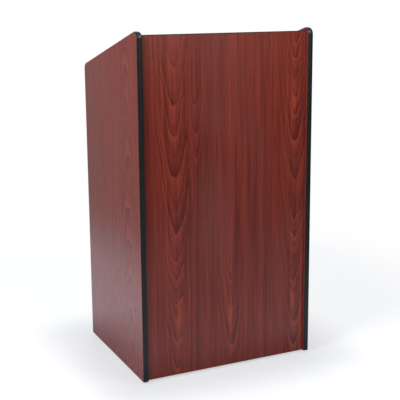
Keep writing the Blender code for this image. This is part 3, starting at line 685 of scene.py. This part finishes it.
def sweep(shape, path, profile, x):
    """Add a closed profile of (outward, across) points swept along (point, outward) pairs in (y, z)."""
    rounds = []
    for (y, z), (out_y, out_z) in path:
        spots = [(x + across, y + out * out_y, z + out * out_z) for out, across in profile]
        rounds.append([shape.verts.new(spot) for spot in spots])
    for first, second in zip(rounds, rounds[1:]):
        for number in range(len(profile)):
            after = (number + 1) % len(profile)
            shape.faces.new((first[number], first[after], second[after], second[number]))
    shape.faces.new(rounds[0][::-1])
    shape.faces.new(rounds[-1])


def arc(centre, radius, start, end, steps):
    """Points on a circle from one angle to another, in degrees."""
    angles = [math.radians(start + (end - start) * step / steps) for step in range(steps + 1)]
    return [(centre[0] + radius * math.cos(a), centre[1] + radius * math.sin(a)) for a in angles]


def dome(radius, base, rise, steps):
    """A dome's profile, from its rim up to its top."""
    angles = [math.radians(90 * step / steps) for step in range(steps)]
    return [(radius * math.cos(a), base + rise * math.sin(a)) for a in angles] + [(0, base + rise)]


def rounded(width, height, radius, steps=8):
    """A rectangle's outline about the origin with rounded corners."""
    x, y = width / 2 - radius, height / 2 - radius
    corners = ((x, y, 0), (-x, y, 90), (-x, -y, 180), (x, -y, 270))
    return [point for u, v, start in corners for point in arc((u, v), radius, start, start + 90, steps)]


def plus(long, short, wide):
    """A cross's outline, from the lengths of its arms and their width."""
    a, b, h = long / 2, short / 2, wide / 2
    upper = [(a, h), (h, h), (h, b), (-h, b), (-h, h), (-a, h)]
    return upper + [(-u, -v) for u, v in upper]


def mirrored(profile):
    """A profile of (radius, height) points and then its reflection below height zero."""
    return profile + [(radius, -height) for radius, height in reversed(profile)]


def finished(shape):
    """A bmesh as a mesh with outward normals, smooth except at sharp edges."""
    bmesh.ops.remove_doubles(shape, verts=shape.verts, dist=MERGE)
    bmesh.ops.dissolve_degenerate(shape, edges=shape.edges, dist=MERGE)
    shape.normal_update()
    bmesh.ops.recalc_face_normals(shape, faces=shape.faces)
    mesh = bpy.data.meshes.new("piece")
    shape.to_mesh(mesh)
    shape.free()
    mesh.shade_smooth()
    mesh.set_sharp_from_angle(angle=SMOOTH_ANGLE)
    return mesh


def applied(mesh, kind, **settings):
    """A mesh with a modifier applied to it."""
    body = bpy.data.objects.new("worked", mesh)
    bpy.context.scene.collection.objects.link(body)
    modifier = body.modifiers.new("work", kind)
    for name, value in settings.items():
        setattr(modifier, name, value)
    bpy.context.view_layer.update()
    evaluated = body.evaluated_get(bpy.context.evaluated_depsgraph_get())
    result = bpy.data.meshes.new_from_object(evaluated)
    bpy.data.objects.remove(body)
    shape = bmesh.new()
    shape.from_mesh(result)
    return finished(shape)


def carved(mesh, tool):
    """A mesh with a tool's shape cut out of it."""
    cutter = bpy.data.objects.new("cutter", tool)
    bpy.context.scene.collection.objects.link(cutter)
    result = applied(mesh, "BOOLEAN", solver="EXACT", object=cutter)
    bpy.data.objects.remove(cutter)
    return result


def piece(name, mesh, material, body, replaced=(), rounding=0.0):
    """Put a mesh in the scene as a piece of the lectern."""
    if rounding:
        mesh = applied(mesh, "BEVEL", width=rounding, segments=2, angle_limit=SMOOTH_ANGLE)
    made = bpy.data.objects.new(name, mesh)
    bpy.context.scene.collection.objects.link(made)
    mesh.materials.clear()
    mesh.materials.append(material)
    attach(made, body)
    if replaced:
        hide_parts(*replaced)


def middle_of(node):
    """The centre of a CAD node's box."""
    low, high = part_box(node)
    return (low + high) / 2


def facing(centre, axis):
    """The place of a shape whose Z points along an axis."""
    turn = Vector((0, 0, 1)).rotation_difference(Vector(axis))
    return Matrix.LocRotScale(Vector(centre), turn, None)


def slope_place(x, y, z):
    """The place of a shape whose Z points out of the slope and whose Y runs down it."""
    corner = Matrix.Translation((0, -DEPTH / 2, FLOOR_CLEARANCE + SIDE_HEIGHT))
    return corner @ Matrix.Rotation(-SLOPE, 4, "X") @ Matrix.Translation((x, y, z))


# --- Mouldings and the slanted top ------------------------------------


def side_path():
    """The board's edge under the moulding, from its front foot over the top to its rear foot."""
    lean = CORNER_RADIUS * math.tan(SLOPE)
    drop = CORNER_RADIUS / math.cos(SLOPE)
    front = (-DEPTH / 2 + CORNER_RADIUS, FLOOR_CLEARANCE + SIDE_HEIGHT - lean - drop)
    rear = (DEPTH / 2 - CORNER_RADIUS, FLOOR_CLEARANCE + REAR_HEIGHT + lean - drop)
    top = 90 - math.degrees(SLOPE)
    radius = CORNER_RADIUS - CROWN
    path = [((front[0] - radius, FLOOR_CLEARANCE), (-1.0, 0.0))]
    for centre, start, end in ((front, 180, top), (rear, top, 0)):
        outward = arc((0, 0), 1.0, start, end, CORNER_STEPS)
        path += [((centre[0] + radius * y, centre[1] + radius * z), (y, z)) for y, z in outward]
    return path + [((rear[0] + radius, FLOOR_CLEARANCE), (1.0, 0.0))]


def moulding_profile():
    """A crowned face with full shoulders, a flat back and a barbed tongue."""
    half = BOARD / 2
    face = []
    for step in range(CROWN_STEPS + 1):
        angle = math.pi * step / CROWN_STEPS
        height = math.sin(angle) ** CROWN_FULLNESS
        face.append((GAP + (CROWN - GAP) * height, -half * math.cos(angle)))
    neck = BARB_LENGTH - TONGUE
    barb = TONGUE_HALF + BARB
    tongue = [(GAP, TONGUE_HALF), (neck, TONGUE_HALF), (neck, barb), (-TONGUE, TONGUE_HALF)]
    return face + tongue + [(out, -across) for out, across in reversed(tongue)]


def add_mouldings(material):
    """The two lengths of T-moulding."""
    for label, hand in (("left", -1), ("right", 1)):
        shape = bmesh.new()
        sweep(shape, side_path(), moulding_profile(), hand * (WIDTH - BOARD) / 2)
        node = "t_moulding_" + label
        piece("moulding_" + label, finished(shape), material, "cabinet", (node,))


def screw_head(shape, place, radius, height):
    """A pan head with a cross recess, standing up from its place."""
    rim = 0.35 * height
    head = bmesh.new()
    lathe(head, [(0, 0), (radius, 0)] + dome(radius, rim, height - rim, 10), 32, Matrix.Identity(4))
    cross = bmesh.new()
    arm, wide = 1.10 * radius, 0.24 * radius
    prism(cross, plus(arm, arm, wide), rim, 1.5 * height, Matrix.Identity(4))
    mesh = carved(finished(head), finished(cross))
    mesh.transform(place)
    shape.from_mesh(mesh)


def stop_outline(start):
    """The book stop's section: a rounded nose above, an eased corner below."""
    end = start + STOP_THICKNESS
    bottom, top = -READING_RECESS - BOARD, -READING_RECESS + STOP_RISE
    nose, eased = STOP_THICKNESS / 2, STOP_CORNER
    corner = arc((end - eased, bottom + eased), eased, -90, 0, 6)
    return [(start, bottom)] + corner + arc((start + nose, top - nose), nose, 0, 180, 28)


def add_book_stop(material, steel):
    """The stop at the reading surface's lower end, and its screws."""
    low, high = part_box("book_stop")
    half = (high[0] - low[0]) / 2
    start = READING_END + GAP
    strip = bmesh.new()
    prism(strip, stop_outline(start), -half, half, slope_place(0, 0, 0) @ UPRIGHT)
    bores = bmesh.new()
    seats = []
    bore, counterbore = STOP_SCREW_RADIUS + GAP, STOP_HEAD_RADIUS + GAP
    through, clear = -0.020, 0.006
    for number in (1, 2, 3):
        x = middle_of(f"stop_screw_{number}")[0]
        seat = slope_place(x, start + STOP_THICKNESS - STOP_HEAD_SEAT, -READING_RECESS - BOARD / 2)
        seat = seat @ Matrix.Rotation(-math.pi / 2, 4, "X")
        profile = [(0, through), (bore, through), (bore, 0)]
        profile += [(counterbore, 0), (counterbore, clear), (0, clear)]
        lathe(bores, profile, 40, seat)
        seats.append(seat)
    mesh = carved(finished(strip), finished(bores))
    piece("stop_strip", mesh, material, "cabinet", ("book_stop",))
    shank = [(0, 0.0004), (STOP_SCREW_RADIUS, 0.0004), (STOP_SCREW_RADIUS, -0.022), (0, -0.025)]
    for number, seat in enumerate(seats, start=1):
        shape = bmesh.new()
        screw_head(shape, seat @ Matrix.Translation((0, 0, GAP)), STOP_HEAD_RADIUS, SCREW_HEAD)
        lathe(shape, shank, 20, seat)
        node = f"stop_screw_{number}"
        piece(f"stop_fixing_{number}", finished(shape), steel, "cabinet", (node,))


def add_grommet(material):
    """The flanged liner, let in flush, and its slotted cap."""
    seat = slope_place(GROMMET_X, GROMMET_Y, -READING_RECESS)
    outer, inner, hole = GROMMET_OUTER, GROMMET_INNER, GROMMET_HOLE
    soft, fine = 0.0009, 0.0006
    rim = arc((outer - soft, -soft), soft, 0, 90, 6)
    lip = arc((inner + fine, -fine), fine, 90, 180, 5)
    ledge_top = -CAP_THICKNESS - GAP
    ledge_under = ledge_top - GROMMET_LEDGE
    ledge = inner - GROMMET_LEDGE
    profile = [(hole, -GROMMET_LIP), (outer, -GROMMET_LIP)] + rim + lip
    profile += [(inner, ledge_top), (ledge, ledge_top), (ledge, ledge_under), (inner, ledge_under)]
    profile += [(inner, -BOARD), (hole, -BOARD)]
    shape = bmesh.new()
    lathe(shape, profile, 72, seat, ring=True)
    piece("grommet_ring", finished(shape), material, "cabinet", ("grommet_liner",))

    radius, eased, dish = inner - 2 * GAP, 0.0005, 0.0006
    cap = [(0, -CAP_THICKNESS), (radius, -CAP_THICKNESS)] + arc((radius - eased, -eased), eased, 0, 90, 4)
    cap += [(radius - 0.0022, 0), (radius - 0.0028, -dish), (0, -dish)]
    shape = bmesh.new()
    lathe(shape, cap, 72, Matrix.Identity(4))
    slot = bmesh.new()
    half = CAP_SLOT
    mouth = arc((0, half), half, 180, 360, 24) + [(half, GROMMET_OUTER), (-half, GROMMET_OUTER)]
    prism(slot, mouth, -BOARD, BOARD, Matrix.Identity(4))
    mesh = carved(finished(shape), finished(slot))
    mesh.transform(seat)
    piece("grommet_lid", mesh, material, "grommet_cap", ("grommet_cap",))


# --- Fittings ---------------------------------------------------------


def add_shelf_pins(steel):
    """The collared pins under the loose shelf."""
    radius, collar, reach = PIN_RADIUS, PIN_COLLAR, PIN_REACH
    nose = arc((radius - 0.0008, reach - 0.0008), 0.0008, 0, 90, 5)
    profile = [(0, -reach), (radius - GAP, -reach), (radius, -0.0086), (radius, GAP)]
    profile += [(collar - 0.0002, GAP), (collar, 0.0005), (collar, 0.001), (collar - 0.0002, 0.0012)]
    profile += [(radius, 0.0012)] + nose + [(0, reach)]
    for label, hand in (("left", -1), ("right", 1)):
        for end in ("front", "rear"):
            name = f"shelf_pin_{end}_{label}"
            middle = middle_of(name)
            seat = facing((hand * (WIDTH / 2 - BOARD), middle[1], middle[2]), (-hand, 0, 0))
            shape = bmesh.new()
            lathe(shape, profile, 28, seat)
            piece(f"pin_{end}_{label}", finished(shape), steel, "cabinet", (name,))


def cam_mesh():
    """A cam lock: a waisted barrel with a raised rim and a cross recess in its face."""
    radius, depth, eased = CAM_RADIUS, CAM_DEPTH, 0.0006
    waist = radius - CAM_WAIST
    profile = [(0, 0), (radius, 0.0), (radius, 0.003), (waist, 0.0042), (waist, 0.0085), (radius, 0.0096)]
    profile += arc((radius - eased, depth - eased), eased, 0, 90, 5)
    profile += [(radius - 0.0016, depth), (radius - 0.002, depth - 0.0004), (0, depth - 0.0004)]
    shape = bmesh.new()
    lathe(shape, profile, 48, Matrix.Identity(4))
    cross = bmesh.new()
    prism(cross, plus(*CAM_CROSS), depth - 0.003, depth + 0.002, Matrix.Identity(4))
    return carved(finished(shape), finished(cross))


def add_cams(metal):
    """The twelve cam locks, flush with the undersides of their boards."""
    down = Vector((0, 0, -1))
    under_slope = slope_place(0, 0, 0).to_3x3() @ down
    for row, normal in (("top", under_slope), ("shelf", down), ("bottom", down)):
        for number in range(1, 5):
            name = f"cam_lock_{row}_{number}"
            mesh = cam_mesh()
            mesh.transform(facing(middle_of(name), normal) @ Matrix.Translation((0, 0, -CAM_DEPTH / 2)))
            piece(f"cam_{row}_{number}", mesh, metal, "cabinet", (name,))


# --- Casters ----------------------------------------------------------


def add_caster_plate(label, swivel, steel):
    """The plate with its pressed cup and the riveted kingpin, and its four screws."""
    shape = bmesh.new()
    prism(shape, rounded(*PLATE_SIZE, PLATE_CORNER), PLATE_UNDER, PLATE_UNDER + PLATE_THICKNESS, swivel)
    shoulder = 0.0018
    profile = [(0, PLATE_UNDER + 0.001), (0.0162, PLATE_UNDER + 0.0001)]
    profile += arc((CUP_RADIUS - shoulder, PLATE_UNDER - shoulder), shoulder, 80, 0, 6)
    profile += [(CUP_RADIUS, CUP_UNDER + 0.0008), (CUP_RADIUS - 0.0007, CUP_UNDER)]
    head = FORK_TOP - FORK_CROWN - 2 * GAP
    profile += [(KINGPIN_RADIUS, CUP_UNDER), (KINGPIN_RADIUS, head), (0.0058, head)]
    profile += arc((0.0042, head - 0.0004), 0.0017, 0, -80, 6) + [(0, head - 0.0021)]
    lathe(shape, profile, 48, swivel)
    node = "caster_plate_" + label
    piece("plate_" + label, finished(shape), steel, "cabinet", (node,), 0.0003)
    shape = bmesh.new()
    across, along = PLATE_HOLES
    for i in (-1, 1):
        for j in (-1, 1):
            place = swivel @ facing((i * across, j * along, PLATE_UNDER), (0, 0, -1))
            screw_head(shape, place, PLATE_SCREW_HEAD, SCREW_HEAD)
    piece("plate_screws_" + label, finished(shape), steel, "cabinet")


def fork_crown():
    """The fork's bent crown as (x, z) points, with the start of its two legs."""
    bend, half = FORK_BEND, FORK_HALF
    over = arc((half - bend, FORK_TOP - bend), bend, 0, 90, 8)
    under = arc((half - bend, FORK_TOP - bend), bend - FORK_WALL, 90, 0, 8)
    drop = FORK_TOP - 0.012
    right = [(half, drop)] + over
    left = [(-x, z) for x, z in reversed(right)]
    inner_left = [(-x, z) for x, z in reversed(under)]
    return right + left + [(FORK_WALL - half, drop)] + inner_left + under + [(half - FORK_WALL, drop)]


def fork_leg():
    """A leg as (y, z) points: narrowing down to the axle boss, with a lug behind."""
    boss = arc((TRAIL, WHEEL_RADIUS), AXLE_BOSS, 205, 350, 20)
    leg = [(-0.016, FORK_TOP - 0.0045), (-0.016, FORK_TOP - 0.0085)] + boss
    leg += [(0.0345, FORK_TOP - 0.0105)]
    leg += arc((0.0335, FORK_TOP - 0.0095), 0.0015, -40, 0, 3)
    leg += arc((0.0335, FORK_TOP - 0.0015), 0.0015, 0, 90, 5)
    return leg + [(0.016, FORK_TOP), (0.0155, FORK_TOP - 0.0045)]


def add_fork(label, swivel, steel):
    """The bent fork, with the raceway pressed round its kingpin hole and a leg down each side."""
    shape = bmesh.new()
    prism(shape, fork_crown(), -FORK_CROWN_HALF, FORK_CROWN_HALF, swivel @ ALONG_Y)
    raceway = [(0.0045, 0), (0.0132, 0), (0.0138, -0.0008), (0.0124, -0.002), (0.0045, -0.002)]
    lathe(shape, [(radius, FORK_TOP + height) for radius, height in raceway], 48, swivel, ring=True)
    for low, high in ((-LEG_OUTSIDE, -LEG_INSIDE), (LEG_INSIDE, LEG_OUTSIDE)):
        prism(shape, fork_leg(), low, high, swivel @ UPRIGHT)
    node = "caster_fork_" + label
    piece("fork_" + label, finished(shape), steel, "swivel_" + label, (node,), 0.0004)


def add_wheel(label, hub, steel, core, rubber):
    """The axle, which is a rivet, the ribbed core and the tread with rolled shoulders."""
    half = [(AXLE_RADIUS, 0.0), (AXLE_RADIUS, AXLE_REACH)] + dome(0.0047, AXLE_REACH, 0.0021, 9)
    shape = bmesh.new()
    lathe(shape, [(radius, -height) for radius, height in reversed(half)] + half[1:], 32, hub)
    node = "caster_axle_" + label
    piece("axle_" + label, finished(shape), steel, "swivel_" + label, (node,))

    shape = bmesh.new()
    profile = [(0.0034, 0.009), (0.0074, 0.009), (0.008, 0.0084), (0.0084, 0.003), (0.0150, 0.003)]
    profile += [(0.0157, 0.0076), (0.0161, 0.008), (0.0194, 0.008)]
    lathe(shape, mirrored(profile), 60, hub, ring=True)
    rib = [(0.0078, -0.0008), (0.0156, -0.0006), (0.0156, 0.0006), (0.0078, 0.0008)]
    for number in range(SPOKES):
        spoke = hub @ Matrix.Rotation(2 * math.pi * number / SPOKES, 4, "Z")
        for low, high in ((-0.0068, -0.0025), (0.0025, 0.0068)):
            prism(shape, rib, low, high, spoke)
    wheel = "wheel_" + label
    piece("core_" + label, finished(shape), core, wheel, ("caster_core_" + label,))

    shape = bmesh.new()
    soft = TREAD_SHOULDER
    profile = [(0.0198, 0.0086), (0.0204, TREAD_HALF)]
    profile += arc((WHEEL_RADIUS - soft, TREAD_HALF - soft), soft, 90, 0, 7) + [(WHEEL_RADIUS, 0.0004)]
    lathe(shape, mirrored(profile), 80, hub, ring=True)
    piece("tread_" + label, finished(shape), rubber, wheel, ("caster_tread_" + label,))


def pedal_outline():
    """The brake pedal's side about its pin: boss, lobe, tongue and grip ridges."""
    outline = arc((0, 0), 0.003, 60, 250, 16) + arc((0, 0), 0.0037, -85, -85, 1)[:1]
    outline += [(0.005, -0.0018), (0.022, 0.0005), (0.029, 0.0013)] + arc((0.029, 0.0025), 0.001, -80, 80, 5)
    for number in range(GRIP_RIDGES):
        y = 0.0282 - 0.0026 * number
        top = 0.0029 + 0.125 * (y - 0.022)
        foot = top - 0.0004
        outline += [(y, foot), (y - 0.0005, top), (y - 0.0013, top), (y - 0.0018, foot)]
    return outline + [(0.0060, 0.0024)]


def add_pedal(label, pivot, plastic):
    """The brake pedal on its pin."""
    shape = bmesh.new()
    prism(shape, pedal_outline(), -PEDAL_HALF, PEDAL_HALF, pivot @ UPRIGHT)
    radius, reach, eased = BRAKE_PIN_RADIUS, LEG_OUTSIDE, 0.0004
    half = [(radius, reach - eased), (radius - eased, reach), (0, reach)]
    pin = [(r, -z) for r, z in reversed(half)] + half
    lathe(shape, pin, 24, pivot @ Matrix.Rotation(math.pi / 2, 4, "Y"))
    node = "brake_lever_" + label
    piece("pedal_" + label, finished(shape), plastic, "brake_" + label, (node,), 0.0003)


def add_caster(label, steel, core, rubber, plastic):
    """One plate caster, with a brake pedal if it is a rear one."""
    x, y, _ = middle_of("caster_plate_" + label)
    swivel = Matrix.Translation((x, y, 0))
    hub = swivel @ Matrix.Translation((0, TRAIL, WHEEL_RADIUS)) @ Matrix.Rotation(math.pi / 2, 4, "Y")
    add_caster_plate(label, swivel, steel)
    add_fork(label, swivel, steel)
    add_wheel(label, hub, steel, core, rubber)
    if label.startswith("rear"):
        add_pedal(label, swivel @ Matrix.Translation((0, *BRAKE_PIVOT)), plastic)


# --- Putting it together ----------------------------------------------


def dress(material, *names):
    """Give CAD nodes a material."""
    for name in names:
        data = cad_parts[name].data
        data.materials.clear()
        data.materials.append(material)


add_camera()
add_world()
add_floor()
bpy.context.scene.view_settings.view_transform = "Standard"
for light in LIGHTS:
    add_light(*light)

front_print = wood_print(
    "front_print",
    columns=(
        (0.112, 0.056, LEFT_TOPS, ALL_ALONG),
        (0.315, 0.048, CENTRE_TOPS, (-1.0, 0.38)),
        (0.572, 0.056, RIGHT_TOPS, ALL_ALONG),
        (0.190, 0.042, SMALL_TOPS, (0.70, 0.98)),
    ),
    flames=(
        ((0.567, 0.925), (0.018, 0.070)),
        ((0.562, 0.215), (0.020, 0.050)),
        ((0.115, 0.220), (0.022, 0.050)),
        ((0.315, 0.195), (0.020, 0.050)),
    ),
    clouds=(((0.270, 0.900), (0.080, 0.090), 0.75, 0.40), ((0.258, 0.590), (0.085, 0.190), 1.0, 0.333)),
    lines=((0.336, 0.0030, 0.30, 0.85, 0.34), (0.414, 0.0026, 0.25, 0.90, 0.26)),
    contrast=1.25,
)
side_print = wood_print("side_print", ((0.102, 0.074, SIDE_TOPS, ALL_ALONG),), streaks=0.60)
shelf_columns = ((0.130, 0.050, LEFT_TOPS, ALL_ALONG), (0.370, 0.042, RIGHT_TOPS, ALL_ALONG))
shelf_print = wood_print("shelf_print", shelf_columns)

low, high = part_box("front_panel")
dress(laminate("front_laminate", front_print, (0, 2, 1), ((low[0], 1), (0.0, 1)), 0.37), "front_panel")
low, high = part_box("side_panel_left")
start = ((low[1], 1), (high[2], -1))
dress(laminate("left_laminate", side_print, (1, 2, 0), start, 5.1), "side_panel_left")
start = ((low[1] - 0.2, 1), (high[2] + 0.09, -1))
dress(laminate("right_laminate", side_print, (1, 2, 0), start, 8.6), "side_panel_right")
for number, board in enumerate(("fixed_shelf", "adjustable_shelf", "bottom_panel", "reading_surface")):
    low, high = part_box(board)
    start = ((low[1] + 0.05 * number, 1), (low[0] - 0.17 * number, 1))
    dress(laminate(board + "_laminate", shelf_print, (1, 0, 2), start, 11.3 + 2.9 * number), board)

add_mouldings(vinyl("black_vinyl", VINYL_BLACK, 0.36, DRAWN_UPRIGHT, 1.38))
band_vinyl = vinyl("band_vinyl", VINYL_BLACK, 0.42, DRAWN_ACROSS, 1.38)
dress(band_vinyl, "fixed_shelf_band", "adjustable_shelf_band", "bottom_panel_band")
dress(vinyl("front_band_vinyl", FRONT_BAND, 0.70, DRAWN_ACROSS, 1.30), "front_panel_band")

plated = zinc("plated_steel", ZINC_LIGHT, ZINC_DARK, 0.30)
add_book_stop(moulded("stop_plastic", PLASTIC_BLACK, 0.46), plated)
add_grommet(moulded("grommet_plastic", PLASTIC_BLACK, 0.50))
add_shelf_pins(plated)
add_cams(zinc("cast_zinc", CAST_LIGHT, CAST_DARK, 0.42))
core_plastic = moulded("core_plastic", PLASTIC_BLACK, 0.45)
brake_plastic = moulded("brake_plastic", PLASTIC_BLACK, 0.50)
tread_rubber = moulded("tread_rubber", RUBBER_GREY, 0.68, 1800.0)
for end in ("front", "rear"):
    for side in ("left", "right"):
        add_caster(f"{end}_{side}", plated, core_plastic, tread_rubber, brake_plastic)

low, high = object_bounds()
